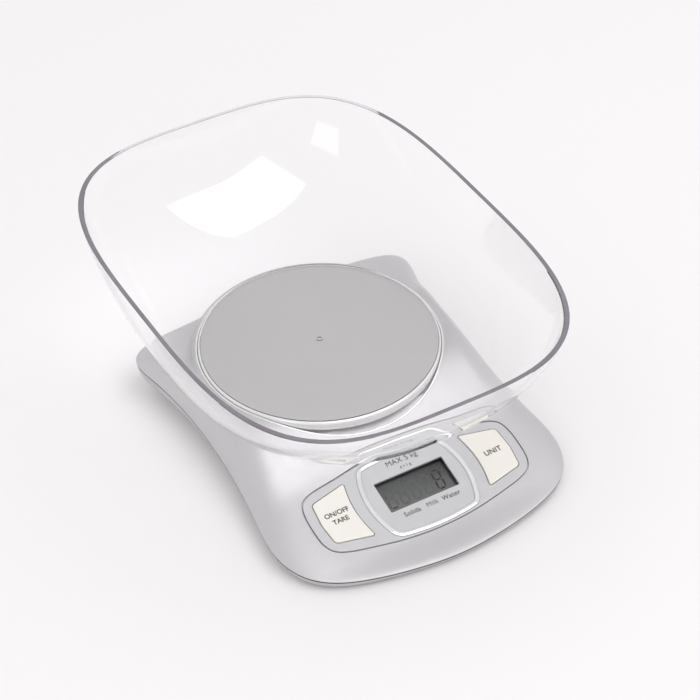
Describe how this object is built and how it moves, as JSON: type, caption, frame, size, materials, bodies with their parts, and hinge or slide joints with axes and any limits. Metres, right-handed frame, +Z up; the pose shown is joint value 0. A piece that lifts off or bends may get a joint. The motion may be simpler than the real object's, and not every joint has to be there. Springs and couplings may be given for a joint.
{
  "type": "kitchen scale",
  "caption": "Electronic kitchen scale with a wedge-shaped base, a sloping control panel, a round weighing platform and a clear lift-off bowl.",
  "frame": {"origin": "middle of the whole object's bounding box in X and Y, on the table it stands on", "axes": "+X to the user's right, +Y away from the user towards the back, +Z up; the control panel faces -Y and up"},
  "size_m": [0.2056, 0.289, 0.101],
  "materials": {
    "silver_paint": "satin silver paint on moulded plastic",
    "platform_paint": "satin silver paint on moulded plastic",
    "silver_panel": "smooth silver paint with fine printing",
    "grey_plastic": "light grey moulded plastic",
    "button_plastic": "warm white moulded plastic",
    "chrome_trim": "bright plated plastic",
    "clear_window": "clear acrylic",
    "clear_plastic": "clear moulded plastic with a faint violet edge",
    "lcd": "dark grey liquid crystal glass",
    "black_plastic": "matte black plastic",
    "contact_rubber": "pink conductive rubber",
    "circuit_board": "green solder mask",
    "silicone": "translucent white silicone",
    "aluminium": "machined",
    "zinc_steel": "zinc plated",
    "nickel_steel": "nickel plated",
    "rubber": "matte dark rubber",
    "battery_wrap": "printed film over steel",
    "white_cable": "smooth sheath",
    "red_lead": "smooth sheath",
    "black_lead": "smooth sheath"
  },
  "bodies": {
    "base": {"upper_housing": "silver_paint", "lower_housing": "grey_plastic", "foot_1": "rubber", "foot_2": "rubber", "foot_3": "rubber", "foot_4": "rubber", "housing_screw_1": "zinc_steel", "housing_screw_2": "zinc_steel", "housing_screw_3": "zinc_steel", "housing_screw_4": "zinc_steel", "housing_screw_5": "zinc_steel", "board_screw_1": "zinc_steel", "board_screw_2": "zinc_steel", "board_screw_3": "zinc_steel", "board_screw_4": "zinc_steel", "cell_screw_1": "zinc_steel", "cell_screw_2": "zinc_steel", "contact_spring_1": "nickel_steel", "spring_plate_1": "nickel_steel", "contact_plate_1": "nickel_steel", "battery_1": "battery_wrap", "contact_spring_2": "nickel_steel", "spring_plate_2": "nickel_steel", "contact_plate_2": "nickel_steel", "battery_2": "battery_wrap", "control_panel": "silver_panel", "display_trim": "chrome_trim", "lcd_frame": "black_plastic", "chip_cover": "black_plastic", "display_lens": "clear_window", "lcd_glass": "lcd", "contact_strip": "contact_rubber", "main_board": "circuit_board", "power_key_dome": "silicone", "unit_key_dome": "silicone", "gauge_cover_top": "silicone", "gauge_cover_bottom": "silicone", "load_cell": "aluminium", "cell_cable": "white_cable", "battery_lead_red": "red_lead", "battery_lead_black": "black_lead"},
    "weighing_platform": {"platform": "platform_paint", "platform_support": "grey_plastic", "cell_bracket": "zinc_steel", "bracket_screw_1": "zinc_steel", "bracket_screw_2": "zinc_steel", "support_screw_1": "zinc_steel", "support_screw_2": "zinc_steel", "support_screw_3": "zinc_steel"},
    "bowl": {"bowl": "clear_plastic"},
    "power_key": {"power_button": "button_plastic"},
    "unit_key": {"unit_button": "button_plastic"},
    "battery_cover": {"battery_door": "grey_plastic"}
  },
  "joints": [
    {"name": "platform_press", "type": "slide", "parent": "base", "child": "weighing_platform", "axis": [0, 0, 1], "range_m": [-0.00025, 0], "stiffness_N_per_m": 60000},
    {"name": "bowl_lift", "type": "slide", "parent": "weighing_platform", "child": "bowl", "axis": [0, 0, 1], "range_m": [0, 0.12]},
    {"name": "power_key_press", "type": "slide", "parent": "base", "child": "power_key", "axis": [0, -0.2471, 0.969], "range_m": [-0.0006, 0], "stiffness_N_per_m": 800},
    {"name": "unit_key_press", "type": "slide", "parent": "base", "child": "unit_key", "axis": [0, -0.2471, 0.969], "range_m": [-0.0006, 0], "stiffness_N_per_m": 800},
    {"name": "battery_cover_slide", "type": "slide", "parent": "base", "child": "battery_cover", "axis": [0, 1, 0], "range_m": [0, 0.014]}
  ]
}
